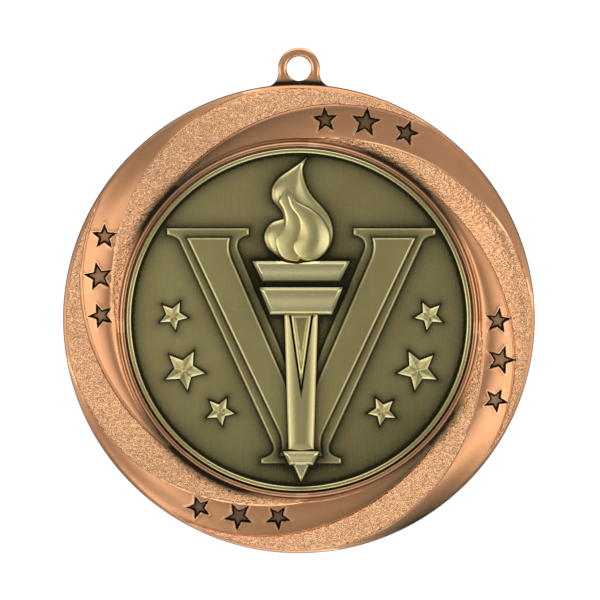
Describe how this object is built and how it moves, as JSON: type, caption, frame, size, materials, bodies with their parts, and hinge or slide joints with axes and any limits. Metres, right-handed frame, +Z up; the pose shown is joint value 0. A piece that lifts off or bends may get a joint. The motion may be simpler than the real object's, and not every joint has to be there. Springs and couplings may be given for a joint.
{
  "type": "finisher medal",
  "caption": "Round finisher medal with a swirl rim of stippled and brushed bands, a cast hanger loop, and a bonded relief insert with a torch, a chevron and stars.",
  "frame": {"origin": "middle of the hanger loop's bore, on its axis", "axes": "-Y is the way the face looks, +Y the back, +Z up through the hanger loop, +X to the right as seen from the front"},
  "size_m": [0.07, 0.0046, 0.0754],
  "materials": {
    "bronze_plate": "antique copper-bronze plate, brushed and stippled bands, dark patina in the recesses",
    "antique_gold_plate": "antique gold plate, satin, dark patina around the relief, polished edges",
    "adhesive_tape": "matte double-sided tape"
  },
  "bodies": {
    "root": {"frame_casting": "bronze_plate", "insert_casting": "antique_gold_plate", "adhesive_pad": "adhesive_tape"}
  },
  "joints": []
}
